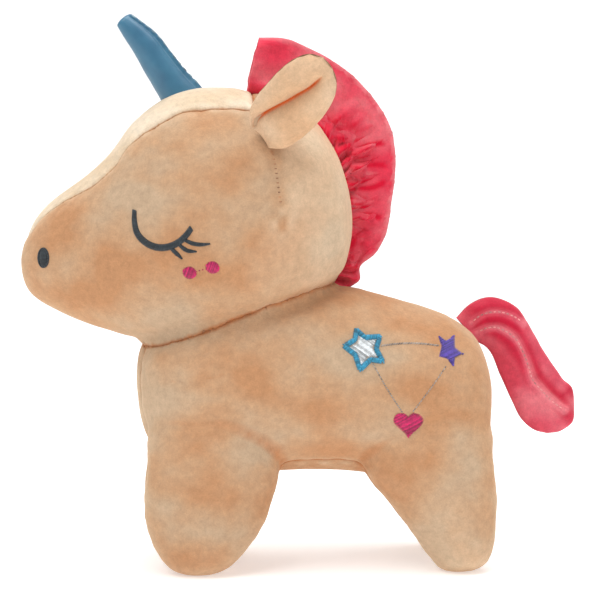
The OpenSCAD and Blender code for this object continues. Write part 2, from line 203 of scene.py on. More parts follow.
def neighbour_mean(p, links):
    """The mean of each point's neighbours."""
    a, b, degree = links
    total = np.stack([np.bincount(a, p[b, i], len(p)) + np.bincount(b, p[a, i], len(p))
                      for i in range(3)], axis=1)
    return total / degree


def relax(p, t, rounds, keep=None):
    """Smooths a mesh without shrinking it. Points where keep is 1 stay."""
    links = links_of(p, t)
    free = 1.0 if keep is None else (1 - keep)[:, None]
    for step in range(2 * rounds):
        p = p + (0.6 if step % 2 == 0 else -0.615) * free * (neighbour_mean(p, links) - p)
    return p


def distance_to(p, points):
    """Distance of each point of p to the nearest of the given points."""
    tree = KDTree(len(points))
    for i, q in enumerate(points):
        tree.insert(q, i)
    tree.balance()
    return np.array([tree.find(q)[2] for q in p])


def in_space(xz):
    """Points of the side view as points in space, on the middle plane."""
    return np.stack([xz[:, 0], np.zeros(len(xz)), xz[:, 1]], axis=1)


def folds_of(p, t, rounds, depth):
    """How far each point stands out of its surroundings: 0 in a fold, 1 on a ridge."""
    links = links_of(p, t)
    q = p
    for _ in range(rounds):
        q = (q + neighbour_mean(q, links)) / 2
    return 0.5 + 0.5 * np.tanh(((p - q) * normals_of(p, t)).sum(axis=1) / depth)


def write_folds(obj, values):
    """Keeps a value at each point for the materials: how far it lies in a fold, for painted shade in folds
    and painted sheen on ridges, or how light a strand.
    """
    data = obj.data.attributes.new("fold", "FLOAT", "POINT").data
    data.foreach_set("value", np.resize(values, len(data)).astype(np.float32))


def split_quads(quads):
    quads = np.asarray(quads)
    return np.concatenate([quads[:, [0, 1, 2]], quads[:, [0, 2, 3]]])


# Cloth is settled at this many times its real size
SIM_SCALE = 20.0


def settle(p, faces, pin, frames, pressure, flat, bend, limit):
    """Lets a piece of cloth settle: p moves under inner pressure, held where pin is 1.

    flat holds the places that the points had in the cut cloth. No point moves further than limit."""
    scene = bpy.context.scene
    obj = new_object("settling", p * SIM_SCALE, faces, None)
    obj.shape_key_add(name="Basis")
    key = obj.shape_key_add(name="flat")
    key.data.foreach_set("co", (flat * SIM_SCALE).ravel())
    group = obj.vertex_groups.new(name="pin")
    for i in np.flatnonzero(pin > 0):
        group.add([int(i)], float(pin[i]), "REPLACE")
    cloth = obj.modifiers.new("cloth", "CLOTH")
    cloth.point_cache.frame_start = 1
    cloth.point_cache.frame_end = frames
    physics = cloth.settings
    physics.quality = 6
    physics.mass = 0.3
    physics.tension_stiffness = physics.compression_stiffness = 20
    physics.shear_stiffness = 8
    physics.bending_stiffness = bend
    physics.tension_damping = physics.compression_damping = physics.shear_damping = 8
    physics.air_damping = 3
    physics.effector_weights.gravity = 0
    physics.use_pressure = True
    physics.uniform_pressure_force = pressure
    physics.vertex_group_mass = "pin"
    physics.rest_shape_key = key
    for frame_number in range(1, frames + 1):
        scene.frame_set(frame_number)
    evaluated = obj.evaluated_get(bpy.context.evaluated_depsgraph_get())
    moved = np.empty(len(p) * 3)
    evaluated.data.vertices.foreach_get("co", moved)
    bpy.data.objects.remove(obj)
    scene.frame_set(1)
    step = moved.reshape(-1, 3) / SIM_SCALE - p
    size = np.linalg.norm(step, axis=1, keepdims=True)
    return p + step * np.minimum(1, limit / np.maximum(size, 1e-9))


def cut(p, t, label, field):
    """Splits the triangles along field = 0. Returns the new points, triangles, labels and sides."""
    f = field(p)
    f[np.abs(f) < 0.12 * MM] = 0
    sign = np.sign(f).astype(int)
    s = sign[t]
    mixed = (s.max(axis=1) > 0) & (s.min(axis=1) < 0)
    tm, sm = t[mixed], s[mixed]
    pairs = sides_of(tm)
    crossing = sign[pairs[:, 0]] * sign[pairs[:, 1]] < 0
    pairs = np.sort(pairs[crossing], axis=1)
    keys = np.unique(pairs[:, 0] * len(p) + pairs[:, 1])
    i, j = keys // len(p), keys % len(p)
    w = (f[i] / (f[i] - f[j]))[:, None]
    fresh = p[i] + (p[j] - p[i]) * w

    def middle(x, y):
        lo, hi = np.minimum(x, y), np.maximum(x, y)
        return len(p) + np.searchsorted(keys, lo * len(p) + hi)

    has_zero = (sm == 0).any(axis=1)
    out, out_label = [t[~mixed]], [label[~mixed]]
    # One corner on the line: split in two through it
    z = tm[has_zero]
    if len(z):
        k = (sm[has_zero] == 0).argmax(axis=1)
        r = np.arange(len(z))
        c0, c1, c2 = z[r, k], z[r, (k + 1) % 3], z[r, (k + 2) % 3]
        m = middle(c1, c2)
        out += [np.stack([c0, c1, m], 1), np.stack([c0, m, c2], 1)]
        out_label += [label[mixed][has_zero]] * 2
    # One corner alone on its side: cut it off
    q = tm[~has_zero]
    if len(q):
        sq = sm[~has_zero]
        k = (sq == -np.sign(sq.sum(axis=1))[:, None]).argmax(axis=1)
        r = np.arange(len(q))
        c0, c1, c2 = q[r, k], q[r, (k + 1) % 3], q[r, (k + 2) % 3]
        m1, m2 = middle(c0, c1), middle(c0, c2)
        out += [np.stack([c0, m1, m2], 1), np.stack([m1, c1, c2], 1), np.stack([m1, c2, m2], 1)]
        out_label += [label[mixed][~has_zero]] * 3
    p = np.concatenate([p, fresh])
    f = np.concatenate([f, np.zeros(len(fresh))])
    t = np.concatenate(out)
    return p, t, np.concatenate(out_label), f[t].sum(axis=1) > 0


# --- Materials ---------------------------------------------------------------------------------

def linear(rgb):
    """Linear colour from an sRGB colour of 0 to 255."""
    c = np.asarray(rgb, float) / 255
    return (*np.where(c <= 0.04045, c / 12.92, ((c + 0.055) / 1.055) ** 2.4), 1.0)


def grey(level):
    return (level, level, level, 1)


class Nodes:
    """Short forms for building a node tree."""

    def __init__(self, name):
        self.material = bpy.data.materials.new(name)
        self.material.use_nodes = True
        self.tree = self.material.node_tree
        self.shader = self.tree.nodes["Principled BSDF"]
        self.place = self.add("ShaderNodeTexCoord").outputs["Object"]

    def add(self, kind, **values):
        node = self.tree.nodes.new(kind)
        for key, value in values.items():
            setattr(node, key, value)
        return node

    def link(self, a, b):
        self.tree.links.new(a, b)

    def noise(self, scale, detail=3, rough=0.55, stretch=None):
        node = self.add("ShaderNodeTexNoise")
        node.inputs["Scale"].default_value = scale
        node.inputs["Detail"].default_value = detail
        node.inputs["Roughness"].default_value = rough
        if stretch is None:
            self.link(self.place, node.inputs["Vector"])
        else:
            mapping = self.add("ShaderNodeMapping")
            mapping.inputs["Scale"].default_value = stretch
            self.link(self.place, mapping.inputs["Vector"])
            self.link(mapping.outputs["Vector"], node.inputs["Vector"])
        return node.outputs["Fac"]

    def ramp(self, source, stops):
        node = self.add("ShaderNodeValToRGB")
        while len(node.color_ramp.elements) < len(stops):
            node.color_ramp.elements.new(0.5)
        for element, (position, colour) in zip(node.color_ramp.elements, stops):
            element.position = position
            element.color = colour
        self.link(source, node.inputs["Fac"])
        return node.outputs["Color"]

    def mix(self, factor, a, b, blend="MIX"):
        node = self.add("ShaderNodeMix", data_type="RGBA", blend_type=blend)
        for socket, value in ((node.inputs[0], factor), (node.inputs[6], a), (node.inputs[7], b)):
            if hasattr(value, "is_output"):
                self.link(value, socket)
            else:
                socket.default_value = value
        return node.outputs[2]

    def bump(self, height, strength, distance, under=None):
        node = self.add("ShaderNodeBump")
        node.inputs["Strength"].default_value = strength
        node.inputs["Distance"].default_value = distance
        self.link(height, node.inputs["Height"])
        if under is not None:
            self.link(under, node.inputs["Normal"])
        return node.outputs["Normal"]

    def set(self, **values):
        for key, value in values.items():
            self.shader.inputs[key.replace("_", " ")].default_value = value

    def finish(self, colour, normal=None):
        self.link(colour, self.shader.inputs["Base Color"])
        if normal is not None:
            self.link(normal, self.shader.inputs["Normal"])
        return self.material


def plush(name, fold_shade, dark, mid, light, sheen_colour, patch=26):
    """Short brushed pile: patches where the nap lies differently, fibre grain, painted shade in folds and
    painted sheen on ridges.
    """
    n = Nodes(name)
    broad = n.noise(patch, 3, 0.45, (1, 1, 1.3))
    base = n.ramp(broad, [(0.38, linear(dark)), (0.5, linear(mid)), (0.64, linear(light))])
    fold = n.add("ShaderNodeAttribute", attribute_name="fold").outputs["Fac"]
    # Painted shade: the fold-shade colour is mixed in where the fold value is low, in folds and along seams
    into = n.ramp(fold, [(0.06, grey(1)), (0.42, grey(0))])
    # Painted sheen: the sheen colour is mixed in where the fold value is high, on ridges
    out = n.ramp(fold, [(0.6, grey(0)), (1.0, grey(0.55))])
    base = n.mix(out, n.mix(into, base, linear(fold_shade)), linear(sheen_colour))
    clump = n.noise(330, 3, 0.6)
    shade = n.ramp(clump, [(0.3, grey(0.9)), (0.7, grey(1.07))])
    fibre = n.noise(1300, 2, 0.7)
    speck = n.ramp(fibre, [(0.3, grey(0.92)), (0.7, grey(1.06))])
    colour = n.mix(1.0, n.mix(1.0, base, shade, "MULTIPLY"), speck, "MULTIPLY")
    soft = n.bump(clump, 0.3, 0.0006)
    normal = n.bump(fibre, 0.3, 0.0004, soft)
    n.set(Roughness=0.95, Sheen_Weight=0.5, Sheen_Roughness=0.4, Sheen_Tint=linear(sheen_colour),
          Specular_IOR_Level=0.12)
    return n.finish(colour, normal)


def thread(name, colour, gloss=0.45):
    """Lustrous embroidery thread with a fine twist."""
    n = Nodes(name)
    c = np.array(linear(colour))
    grain = n.noise(900, 2, 0.6)
    dark, light = (tuple(np.append(c[:3] * level, 1)) for level in (0.72, 1.25))
    tone = n.ramp(grain, [(0.3, dark), (0.7, light)])
    strand = n.add("ShaderNodeAttribute", attribute_name="fold").outputs["Fac"]
    shade = n.ramp(strand, [(0.0, grey(0.55)), (1.0, grey(1.3))])
    tone = n.mix(1.0, tone, shade, "MULTIPLY")
    n.set(Roughness=gloss, Sheen_Weight=0.25, Specular_IOR_Level=0.4)
    return n.finish(tone, n.bump(grain, 0.4, 0.0003))


def faux_leather(name):
    """Soft coated cloth with a fine pebble grain and a satin shine."""
    n = Nodes(name)
    cells = n.add("ShaderNodeTexVoronoi", feature="DISTANCE_TO_EDGE")
    cells.inputs["Scale"].default_value = 900
    n.link(n.place, cells.inputs["Vector"])
    broad = n.noise(60, 3)
    colour = n.ramp(broad, [(0.35, linear((50, 100, 130))), (0.65, linear((66, 120, 148)))])
    grain = n.bump(cells.outputs["Distance"], 0.25, 0.0002)
    n.set(Roughness=0.36, Specular_IOR_Level=0.5, Coat_Weight=0.12, Coat_Roughness=0.3)
    return n.finish(colour, n.bump(broad, 0.3, 0.001, grain))


def fibre_fill(name):
    """Loose white polyester fibre."""
    n = Nodes(name)
    tangle = n.noise(260, 6, 0.7)
    colour = n.ramp(tangle, [(0.3, linear((205, 200, 188))), (0.7, linear((245, 243, 236)))])
    n.set(Roughness=0.9, Sheen_Weight=0.4, Subsurface_Weight=0.1)
    return n.finish(colour, n.bump(tangle, 0.6, 0.001))


# The first colour of each plush is painted shade for its folds; the last is painted sheen for its ridges and
# also tints its sheen
PEACH = plush("plush_peach", (186, 116, 68), (192, 142, 103), (197, 157, 122), (195, 167, 138),
              (236, 214, 184))
CREAM = plush("plush_cream", (196, 146, 104), (216, 190, 158), (226, 204, 176), (234, 216, 192),
              (246, 234, 214))
EAR_CLOTH = plush("plush_ear", (222, 106, 50), (208, 164, 126), (214, 176, 140), (220, 188, 156),
                  (236, 214, 184))
MANE_CLOTH = plush("fleece_mane", (214, 24, 54), (222, 60, 82), (224, 84, 100), (228, 118, 126),
                   (240, 150, 156), 40)
TAIL_CLOTH = plush("fleece_tail", (196, 34, 60), (208, 70, 88), (216, 90, 106), (226, 120, 130),
                   (246, 160, 166), 40)
FIBRE = fibre_fill("fibre_fill")
LEATHER = faux_leather("faux_leather_blue")
THREADS = {
    "slate": thread("thread_slate", (38, 46, 52)), "magenta": thread("thread_magenta", (190, 24, 92)),
    "cyan": thread("thread_cyan", (44, 138, 172)), "white": thread("thread_white", (222, 226, 228)),
    "purple": thread("thread_purple", (84, 62, 158)), "grey": thread("thread_grey", (158, 150, 142), 0.6),
    "blue": thread("thread_blue", (150, 176, 186), 0.6), "pink": thread("thread_pink", (226, 150, 150), 0.6),
    "brown": thread("thread_brown", (176, 124, 86), 0.7)}


# --- Stuffed forms -----------------------------------------------------------------------------

def cross_rings(stations, grow=0.0, count=90, sides=72):
    """Oval rings across X through the stations, in metres, grown by so many millimetres."""
    s = spline(stations, count)
    mid = (s[0, 0] + s[-1, 0]) / 2
    half = (s[-1, 0] - s[0, 0]) / 2
    a = np.linspace(0, 2 * math.pi, sides, endpoint=False)
    c = np.sign(np.cos(a)) * np.abs(np.cos(a)) ** SQUARENESS
    d = np.sign(np.sin(a)) * np.abs(np.sin(a)) ** SQUARENESS
    x = s[:, 0] + grow * (s[:, 0] - mid) / half
    y = (s[:, 3] + grow)[:, None] * c
    z = ((s[:, 1] + s[:, 2]) / 2)[:, None] + ((s[:, 2] - s[:, 1]) / 2 + grow)[:, None] * d
    return np.stack([np.broadcast_to(x[:, None], y.shape), y, z], axis=-1) * MM


def leg_rings(levels, side, grow=0.0, count=40, sides=48):
    """Oval rings up a leg, in metres, grown by so many millimetres."""
    s = spline(levels, count)
    a = np.linspace(0, 2 * math.pi, sides, endpoint=False)
    x = s[:, 1, None] + (s[:, 2] + grow)[:, None] * np.cos(a)
    y = side * (s[:, 3, None] + (s[:, 4] + grow)[:, None] * np.sin(a))
    z = s[:, 0] - grow * (1 - s[:, 0] / s[-1, 0])
    return np.stack([x, y, np.broadcast_to(z[:, None], x.shape)], axis=-1) * MM


def held(rings, side, gap):
    """Rings flattened against the neck seam's plane: side 1 stays above it, -1 below."""
    height = (rings - NECK) @ NECK_UP * side
    return rings + side * np.maximum(gap - height, 0)[..., None] * NECK_UP


def merged(parts, voxel):
    """One closed skin round several closed forms."""
    verts, faces = [], []
    for rings in parts:
        v, f = closed_tube(rings)
        faces += [[i + sum(map(len, verts)) for i in face] for face in f]
        verts.append(v)
    source = new_object("form", np.concatenate(verts), faces, None)
    remesh = source.modifiers.new("remesh", "REMESH")
    remesh.mode = "VOXEL"
    remesh.voxel_size = voxel
    p, t = triangles_of(source)
    bpy.data.objects.remove(source)
    return p, t


def neck_field(p):
    return (p - NECK) @ NECK_UP


def gusset_field(p):
    """Positive on the head's top gusset."""
    plan = np.array(GUSSET_PLAN) * MM
    half = np.interp(p[:, 0], plan[:, 0], plan[:, 1])
    inside = np.minimum(half - np.abs(p[:, 1]), GUSSET_END * MM - p[:, 0])
    return np.minimum(inside, p[:, 2] - 0.138)


def belly_field(p):
    """Positive on the gusset up the chest, along the belly and inner legs, and up to the tail."""
    x, y, z = (p / MM).T
    low = 52
    belly = 24 - 3 * np.maximum(z - low, 0)
    chest = np.interp(z, [low, 70], [24, 15])
    rump = np.interp(z, [low, 98, 104], [24, 3, 0])
    at_chest = smoothstep(-22, -48, x)
    at_rump = smoothstep(52, 74, x)
    half = belly + (chest - belly) * at_chest + (rump - belly) * at_rump
    return (np.maximum(half, -60) - np.abs(y)) * MM


def near_line(p, points):
    """Distance to a smooth line through points given in millimetres."""
    return distance_to(p, spline(np.array(points) * MM, 60))


DART_LINE = [(-15, -42.2, 186), (-13.9, -44.5, 178), (-12.8, -45.9, 170), (-12, -46.4, 164.5)]
DIMPLE = [(-13.6, -47, 159.5), (-12.2, -47.3, 157)]
SHOULDER_CREASE = [(-59, -37, 86.8), (-51.2, -40.9, 86.9), (-44.4, -42.1, 88.3), (-37, -42.8, 90)]
BODY_LEFT, BODY_RIGHT, BELLY, HEAD_LEFT, HEAD_RIGHT, HEAD_TOP = range(6)


def build_skin():
    """The whole plush skin as one surface, cut into its panels, with the seams drawn in."""
    forms = [held(cross_rings(HEAD), 1, -0.001), held(cross_rings(BODY), -1, -0.001)]
    for side in (-1, 1):
        forms += [leg_rings(FRONT_LEG, side), leg_rings(HIND_LEG, side)]
    p, t = merged(forms, BODY_MESH)
    p = relax(p, t, 30)
    p = relax(p, t, 90, keep=smoothstep(0.004, 0.013, np.abs(neck_field(p))))
    p[:, 2] = np.maximum(p[:, 2], 0.0001)

    label = np.zeros(len(t), int)
    p, t, label, above = cut(p, t, label, neck_field)
    label[above] = HEAD_LEFT
    p, t, label, right = cut(p, t, label, lambda q: q[:, 1].copy())
    label[right] += 1
    p, t, label, top = cut(p, t, label, lambda q: np.where(neck_field(q) > 0.004, gusset_field(q), -0.05))
    label[top] = HEAD_TOP
    p, t, label, low = cut(p, t, label, lambda q: np.where(neck_field(q) < 0.001, belly_field(q), -0.05))
    label[low & (label < HEAD_LEFT)] = BELLY

    seam_low = np.full(len(p), 99)
    seam_high = np.full(len(p), -1)
    np.minimum.at(seam_low, t.ravel(), np.repeat(label, 3))
    np.maximum.at(seam_high, t.ravel(), np.repeat(label, 3))
    on_seam = seam_low != seam_high
    at_neck = on_seam & (np.abs(neck_field(p)) < 0.0002)
    n = normals_of(p, t)
    flat = smoothstep(0.0, 0.006, p[:, 2])
    to_seam = distance_to(p, p[on_seam])
    to_neck = distance_to(p, p[at_neck])
    mirrored = p * [1, -1, 1]
    dart, dimple, shoulder = (np.minimum(near_line(p, line), near_line(mirrored, line))
                              for line in (DART_LINE, DIMPLE, SHOULDER_CREASE))
    sink = 1.2 * np.exp(-to_seam / (0.9 * MM)) + 0.8 * np.exp(-((to_seam / (4.5 * MM)) ** 2))
    sink += 0.5 * np.exp(-((to_neck / (6 * MM)) ** 2))
    sink += 0.7 * np.exp(-dart / (0.8 * MM)) + 0.9 * np.exp(-((dart / (5 * MM)) ** 2))
    sink += 0.9 * np.exp(-((dimple / (3.6 * MM)) ** 2)) + 0.3 * np.exp(-shoulder / (0.8 * MM))
    sink += 0.4 * np.exp(-((shoulder / (4 * MM)) ** 2))
    pulled = np.exp(-((np.minimum(to_seam, dimple) / (5 * MM)) ** 2))
    pucker = lumps(p, 0.007, 5) * 0.2 * pulled
    swell = 0.5 * lumps(p, 0.05, 1) + 0.1 * lumps(p, 0.016, 2)
    p = p + n * ((swell + pucker - sink) * flat * MM)[:, None]
    return p, t, label, to_seam, to_neck


skin_p, skin_t, skin_label, to_seam, to_neck = build_skin()
skin_n = normals_of(skin_p, skin_t)
# Fold values that paint shade into folds and sheen onto ridges; the painting fades out near the neck seam
skin_fold = folds_of(skin_p, skin_t, 7, 0.45 * MM)
skin_fold = 0.5 + (skin_fold - 0.5) * (1 - np.exp(-((to_neck / (9 * MM)) ** 2)))
# Painted shade along the seams and the neck seam
skin_fold -= 0.4 * np.exp(-((np.minimum(to_seam, to_neck) / (0.8 * MM)) ** 2))
# Painted sheen: the back of the head, behind the darts, where the nap lies the other way, is painted paler
back = skin_p[:, 0] + 0.006 * lumps(skin_p, 0.03, 44)
skin_fold += 0.3 * smoothstep(-0.026, 0.004, back) * smoothstep(0, 0.004, neck_field(skin_p))
skin_fold = np.clip(skin_fold, 0, 1)
SKIN = BVHTree.FromPolygons([Vector(q) for q in skin_p], skin_t.tolist())


CLOTH_THICKNESS = 1.5 * MM


def panel(name, label, material):
    """One cut piece of the skin as closed cloth: outer face, inner face and the edge between."""
    t = skin_t[skin_label == label]
    used, t = np.unique(t, return_inverse=True)
    t = t.reshape(-1, 3)
    outer = skin_p[used]
    inner = outer - skin_n[used] * CLOTH_THICKNESS
    edges = sides_of(t)
    keys = edges[:, 0] * len(used) + edges[:, 1]
    back = edges[:, 1] * len(used) + edges[:, 0]
    rim = edges[~np.isin(keys, back)]
    count = len(used)
    faces = t.tolist() + (t[:, ::-1] + count).tolist()
    faces += np.stack([rim[:, 1], rim[:, 0], rim[:, 0] + count, rim[:, 1] + count], 1).tolist()
    obj = new_object(name, np.concatenate([outer, inner]), faces, material)
    write_folds(obj, skin_fold[used])
    return obj


def body_give(obj):
    """Bakes the cloth of the body into place."""
    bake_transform(obj)


def head_give(obj):
    """Bakes the cloth of the head into place."""
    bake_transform(obj)


PANELS = [
    ("body_panel_left", BODY_LEFT, PEACH, "plush_tan", body_give),
    ("body_panel_right", BODY_RIGHT, PEACH, "plush_tan", body_give),
    ("belly_gusset", BELLY, PEACH, "plush_brown", body_give),
    ("head_panel_left", HEAD_LEFT, PEACH, "plush_tan", head_give),
    ("head_panel_right", HEAD_RIGHT, PEACH, "plush_tan", head_give),
    ("head_gusset", HEAD_TOP, CREAM, "plush_cream", head_give)]
for node, label, material, slot_name, give in PANELS:
    piece = panel("cloth_" + node, label, material)
    give(piece)
    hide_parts(node)


def stuffing(rings, node, give):
    """A lumpy body of loose fibre inside the skin."""
    v, f = closed_tube(rings)
    obj = new_object("fibre_" + node, v + (lumps(v, 0.012, 9) * 0.5 * MM)[:, None] * 0.577, f, FIBRE)
    give(obj)
    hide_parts(node)


INSET = -5.0
# Deeper in the head, clear of the root of the horn as it tilts
HEAD_INSET = -7.5
stuffing(held(cross_rings(HEAD, HEAD_INSET, 40, 40), 1, 0.012), "head_filling",
         lambda o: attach(o, "head"))
stuffing(held(cross_rings(BODY, INSET, 40, 40), -1, 0.012), "body_filling",
         lambda o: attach(o, "body"))
for side, word in ((-1, "left"), (1, "right")):
    for levels, leg in ((FRONT_LEG, "front"), (HIND_LEG, "hind")):
        rings = leg_rings(levels, side, INSET, 24, 32)
        rings[..., 2] = np.clip(rings[..., 2], 0.006, 0.044)
        stuffing(rings, f"{leg}_leg_filling_{word}", lambda o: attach(o, "body"))


def wad():
    """The round wad of fibre in the neck opening."""
    low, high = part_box("neck_filling")
    radius = (high - low).x / 2 - 0.001
    u = np.linspace(0.05, math.pi - 0.05, 24)[:, None]
    v = np.linspace(0, 2 * math.pi, 32, endpoint=False)[None, :]
    rings = np.stack([np.sin(u) * np.cos(v), np.sin(u) * np.sin(v), np.cos(u) + 0 * v], axis=-1)
    stuffing(rings * radius + NECK, "neck_filling", lambda o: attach(o, "neck"))


wad()


# --- Sewing thread -----------------------------------------------------------------------------

def drape(points, side):
    """Points of the side view (x, z in mm) laid on the skin of that side, with the skin's normals."""
    place, normal = [], []
    for x, z in np.asarray(points, float).reshape(-1, 2) * MM:
        hit, n, _, _ = SKIN.ray_cast(Vector((x, side * 0.3, z)), Vector((0, -side, 0)))
        if hit is None:
            hit, n, _, _ = SKIN.find_nearest(Vector((x, side * 0.04, z)))
        place.append(hit)
        normal.append(n)
    shape = np.shape(points)[:-1] + (3,)
    return np.array(place).reshape(shape), np.array(normal).reshape(shape)


def strands(p, n, radius, sides=6, squash=0.8):
    """Tubes along many short lines at once: p and n are (strand, point, 3)."""
    tangent = np.gradient(p, axis=1)
    across = np.cross(n, tangent)
    across /= np.maximum(np.linalg.norm(across, axis=2, keepdims=True), 1e-12)
    a = np.linspace(0, 2 * math.pi, sides, endpoint=False)
    k = p.shape[1]
    taper = np.ones(k)
    taper[[0, -1]] = 0.35
    r = np.broadcast_to(radius, p.shape[:1])[:, None, None, None] * taper[None, :, None, None]
    ring = (np.cos(a)[:, None] * across[:, :, None, :] + squash * np.sin(a)[:, None] * n[:, :, None, :]) * r
    verts = (p[:, :, None, :] + ring).reshape(-1, 3)
    one = grid_faces(k, sides, wrap=True)
    step = k * sides
    first = np.arange(len(p))[:, None, None] * step
    quads = (one[None] + first).reshape(-1, 4).tolist()
    start = (np.arange(sides)[::-1][None] + first[:, 0]).tolist()
    end = (np.arange(sides)[None] + (k - 1) * sides + first[:, 0]).tolist()
    return verts, quads + start + end


def sewn(name, p, n, radius, colour):
    """Strands of thread as one object, each strand a little different in tone."""
    verts, faces = strands(p, n, radius)
    obj = new_object(name, verts, faces, THREADS[colour])
    write_folds(obj, np.repeat(np.random.default_rng(5).random(len(p)), len(verts) // len(p)))
    return obj


def stitched(name, node, ends, side, colour, give, lift=0.45, radius=0.3, points=6):
    """Satin stitches: a raised thread from each pair of ends (x, z in mm), laid on the skin."""
    ends = np.asarray(ends, float)
    u = np.linspace(0, 1, points)
    line = ends[:, None, 0] * (1 - u)[None, :, None] + ends[:, None, 1] * u[None, :, None]
    p, n = drape(line, side)
    rise = (-0.1 + lift * np.sin(math.pi * u) ** 0.5) * MM
    obj = sewn(name, p + n * rise[None, :, None], n, radius * MM, colour)
    give(obj)
    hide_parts(node)


def satin_path(points, width, pitch, slant=0.35, closed=False):
    """Stitch ends across a line of satin that follows points; width may vary along it."""
    points = list(points) + ([points[0]] if closed else [])
    pts = np.asarray(points, float)
    length = distance_along(pts)[-1]
    n = max(4, int(length / pitch))
    c = points_at(pts, np.linspace(0, length, n))
    d = np.gradient(c, axis=0)
    d /= np.linalg.norm(d, axis=1)[:, None]
    side = np.stack([-d[:, 1], d[:, 0]], axis=1) + slant * d
    half = np.interp(np.linspace(0, 1, n), np.linspace(0, 1, np.size(width)), np.atleast_1d(width)) / 2
    return np.stack([c - side * half[:, None], c + side * half[:, None]], axis=1)


def satin_fill(outline, pitch, slant):
    """Stitch ends that fill an outline with parallel rows at a slant."""
    poly = np.asarray(outline, float)
    a = math.radians(slant)
    turn = np.array([[math.cos(a), math.sin(a)], [-math.sin(a), math.cos(a)]])
    q = poly @ turn.T
    rows = []
    for y in np.arange(q[:, 1].min() + pitch / 2, q[:, 1].max(), pitch):
        xs = []
        for (x0, y0), (x1, y1) in zip(q, np.roll(q, -1, axis=0)):
            if (y0 > y) != (y1 > y):
                xs.append(x0 + (x1 - x0) * (y - y0) / (y1 - y0))
        xs.sort()
        rows += [((x0, y), (x1, y)) for x0, x1 in zip(xs[::2], xs[1::2]) if x1 - x0 > 0.5]
    return np.array(rows) @ turn


def heart_points(centre, r):
    a = np.linspace(0, 2 * math.pi, 40, endpoint=False)
    x = 16 * np.sin(a) ** 3
    z = 13 * np.cos(a) - 4 * np.cos(2 * a) - 1.4 * np.cos(3 * a) - 0.8 * np.cos(4 * a)
    return np.stack([centre[0] + r * x / 16, centre[1] + r * z / 16], axis=1)


def round_points(centre, r, stretch=1.0):
    a = np.linspace(0, 2 * math.pi, 28, endpoint=False)
    return np.stack([centre[0] + r * np.cos(a), centre[1] + stretch * r * np.sin(a)], axis=1)


EYE = [(-74.2, 160.8), (-74.2, 156.1), (-72.9, 150.9), (-69.7, 147.4), (-64.8, 145.3), (-60.3, 145.4),
       (-56.4, 146.9), (-52.8, 149.9), (-50.1, 153.4)]
LASHES = [((-53.2, 148.6), (-49.2, 146.9), (-45.4, 146.5), (-42.4, 146.8)),
          ((-55.2, 146.4), (-51.8, 143.9), (-48.1, 143.5)), ((-59, 145.2), (-56.4, 142.7), (-54.2, 140.5))]
NOSTRIL = (-113.8, 139.8)
CHEEK = [(-50.9, 134.4), (-41.1, 136.7)]
BIG_STAR = [(20.8, 110.7), (25.4, 106.6), (33.3, 106.8), (31.0, 100.7), (34.4, 94.0), (27.4, 95.0),
            (21.9, 90.0), (19.5, 97.6), (13.8, 102.2), (19.6, 105.4)]
SMALL_STAR = [(58.0, 105.3), (61.8, 103.0), (66.2, 105.2), (65.6, 100.4), (69.1, 97.4), (65.0, 96.1),
              (63.9, 92.2), (61.0, 95.7), (57.3, 96.8), (58.9, 100.8)]
HEART = (43.7, 68.3)
HEART_R = 6.8
LINKS = [((32.6, 101.9), (38.7, 102.5), (45.2, 102.6), (51.3, 102.2), (57.4, 101.3)),
         ((28.2, 94.2), (34.2, 83.6), (40.7, 73.6)), ((60.2, 92.4), (53.1, 83.2), (45.7, 73.8))]
# Distance between the threads of the finer satin
FINE = 0.42
DART = [(-15, 184.5), (-13.9, 178), (-12.8, 170), (-12, 164.5)]


def inset(outline, d):
    """An outline drawn in by d."""
    poly = np.asarray(outline, float)
    before, after = poly - np.roll(poly, 1, axis=0), np.roll(poly, -1, axis=0) - poly
    n1 = np.stack([-before[:, 1], before[:, 0]], 1) / np.linalg.norm(before, axis=1)[:, None]
    n2 = np.stack([-after[:, 1], after[:, 0]], 1) / np.linalg.norm(after, axis=1)[:, None]
    turned = np.sign(np.cross(poly, np.roll(poly, -1, axis=0)).sum())
    bisector = (n1 + n2) / (1 + (n1 * n2).sum(axis=1))[:, None]
    return poly + turned * d * bisector


